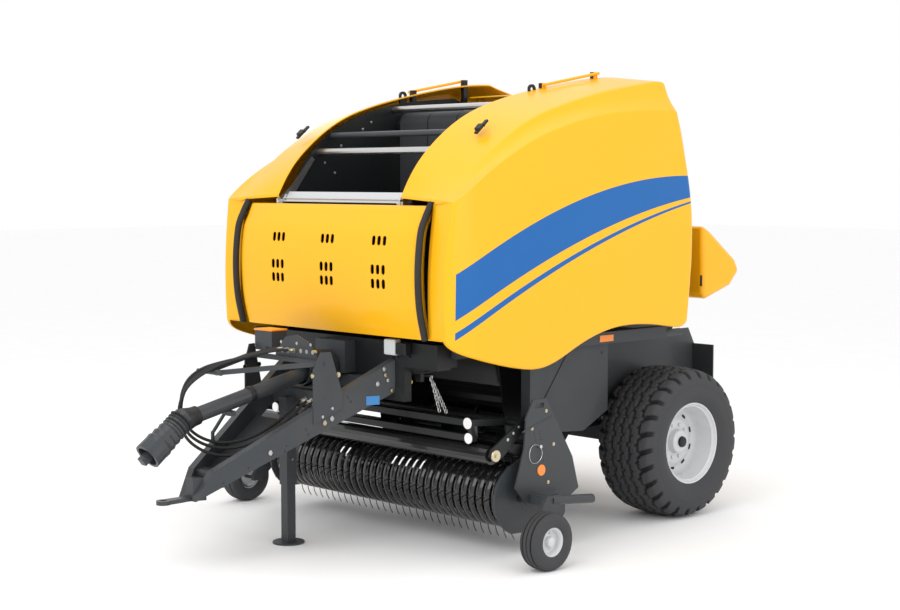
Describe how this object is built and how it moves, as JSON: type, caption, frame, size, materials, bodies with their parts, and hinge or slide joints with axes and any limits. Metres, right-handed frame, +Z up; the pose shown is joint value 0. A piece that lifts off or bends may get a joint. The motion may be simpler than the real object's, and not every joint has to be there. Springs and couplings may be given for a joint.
{
  "type": "round baler",
  "caption": "Towed round baler: yellow side panels and hood over a belt chamber, tined pick-up with gauge wheels, lifting tailgate, drawbar on its jack and drive shaft.",
  "frame": {"origin": "on the ground under the middle of the whole machine's box", "axes": "+Z up, -Y towards the tractor, +X to the machine's left"},
  "size_m": [3.2, 4.7672, 3.1293],
  "materials": {
    "yellow": "glossy moulded panels, yellow with a blue band",
    "frame_grey": "satin charcoal-grey paint",
    "black": "satin black paint",
    "tyre": "black rubber with a grooved tread",
    "rubber": "black belting and hose",
    "rim": "silver-white paint",
    "silver": "bright zinc-plated steel",
    "tine": "dark spring steel"
  },
  "bodies": {
    "chassis": {"side_wall_left": "black", "side_wall_right": "black", "front_frame": "frame_grey", "front_deck": "black", "roof_tube_front": "silver", "roof_tube_rear": "silver", "roof_tube_top": "silver", "belt_roller_top": "black", "front_belts": "rubber", "floor_roller": "black", "feeder_floor": "black", "silver_tray": "silver", "side_rail_left": "frame_grey", "side_rail_right": "frame_grey", "side_shield_left": "black", "side_shield_right": "black", "fender_left": "black", "fender_right": "black", "axle_beam": "frame_grey", "drawbar_frame": "frame_grey", "hitch_tongue": "frame_grey", "jack_tube": "frame_grey", "hose_rack": "frame_grey", "control_box": "black", "gearbox": "black", "hood_strut_left": "silver", "hood_strut_right": "silver", "hose_1": "rubber", "hose_2": "rubber", "hose_3": "rubber"},
    "wheel_left": {"tyre_left": "tyre", "rim_left": "rim"},
    "wheel_right": {"tyre_right": "tyre", "rim_right": "rim"},
    "side_panel_left": {"side_panel_left": "yellow"},
    "side_panel_right": {"side_panel_right": "yellow"},
    "front_hood": {"front_hood": "yellow"},
    "tailgate": {"tailgate_frame": "frame_grey", "rear_belts": "rubber", "tailgate_pod": "yellow", "tailgate_cover": "yellow"},
    "pickup": {"pickup_bands": "black", "pickup_frame": "frame_grey", "pickup_side_left": "frame_grey", "pickup_side_right": "frame_grey"},
    "pickup_reel": {"pickup_reel": "tine"},
    "feed_rotor": {"feed_rotor": "black"},
    "windguard": {"windguard_frame": "frame_grey", "crop_deflector": "black"},
    "windguard_roller": {"windguard_roller": "black"},
    "gauge_wheel_left": {"gauge_tyre_left": "tyre", "gauge_rim_left": "rim"},
    "gauge_wheel_right": {"gauge_tyre_right": "tyre", "gauge_rim_right": "rim"},
    "jack_leg": {"jack_leg": "frame_grey"},
    "pto_shaft": {"pto_shaft": "black"}
  },
  "joints": [
    {"name": "wheel_left_spin", "type": "hinge", "parent": "chassis", "child": "wheel_left", "pos_m": [0.95, 1.4, 0.53], "axis": [1, 0, 0], "continuous": true},
    {"name": "wheel_right_spin", "type": "hinge", "parent": "chassis", "child": "wheel_right", "pos_m": [-0.95, 1.4, 0.53], "axis": [1, 0, 0], "continuous": true},
    {"name": "side_panel_left_hinge", "type": "hinge", "parent": "chassis", "child": "side_panel_left", "pos_m": [0.68, 0.6, 3.058], "axis": [0, -0.9836, -0.1805], "range_deg": [0, 60]},
    {"name": "side_panel_right_hinge", "type": "hinge", "parent": "chassis", "child": "side_panel_right", "pos_m": [-0.68, 0.6, 3.058], "axis": [0, 0.9836, 0.1805], "range_deg": [0, 60]},
    {"name": "front_hood_hinge", "type": "hinge", "parent": "chassis", "child": "front_hood", "pos_m": [0, -0.87, 2.235], "axis": [-1, 0, 0], "range_deg": [0, 85]},
    {"name": "tailgate_hinge", "type": "hinge", "parent": "chassis", "child": "tailgate", "pos_m": [0, 0.75, 2.8], "axis": [1, 0, 0], "range_deg": [0, 65]},
    {"name": "pickup_hinge", "type": "hinge", "parent": "chassis", "child": "pickup", "pos_m": [0, 0.4, 0.78], "axis": [-1, 0, 0], "range_deg": [0, 12]},
    {"name": "pickup_reel_spin", "type": "hinge", "parent": "pickup", "child": "pickup_reel", "pos_m": [0, -0.32, 0.37], "axis": [1, 0, 0], "continuous": true},
    {"name": "feed_rotor_spin", "type": "hinge", "parent": "chassis", "child": "feed_rotor", "pos_m": [0, 0.25, 0.6], "axis": [1, 0, 0], "continuous": true},
    {"name": "windguard_hinge", "type": "hinge", "parent": "pickup", "child": "windguard", "pos_m": [0, -0.22, 0.9], "axis": [-1, 0, 0], "range_deg": [0, 15]},
    {"name": "windguard_roller_spin", "type": "hinge", "parent": "windguard", "child": "windguard_roller", "pos_m": [0, -0.57, 0.67], "axis": [1, 0, 0], "continuous": true},
    {"name": "gauge_wheel_left_spin", "type": "hinge", "parent": "pickup", "child": "gauge_wheel_left", "pos_m": [1.53, -0.49, 0.18], "axis": [1, 0, 0], "continuous": true},
    {"name": "gauge_wheel_right_spin", "type": "hinge", "parent": "pickup", "child": "gauge_wheel_right", "pos_m": [-1.53, -0.49, 0.18], "axis": [1, 0, 0], "continuous": true},
    {"name": "jack_leg_slide", "type": "slide", "parent": "chassis", "child": "jack_leg", "axis": [0, 0, 1], "range_m": [0, 0.35]},
    {"name": "pto_shaft_hinge", "type": "hinge", "parent": "chassis", "child": "pto_shaft", "pos_m": [0, -1.05, 1.155], "axis": [-1, 0, 0], "range_deg": [0, 8]}
  ]
}
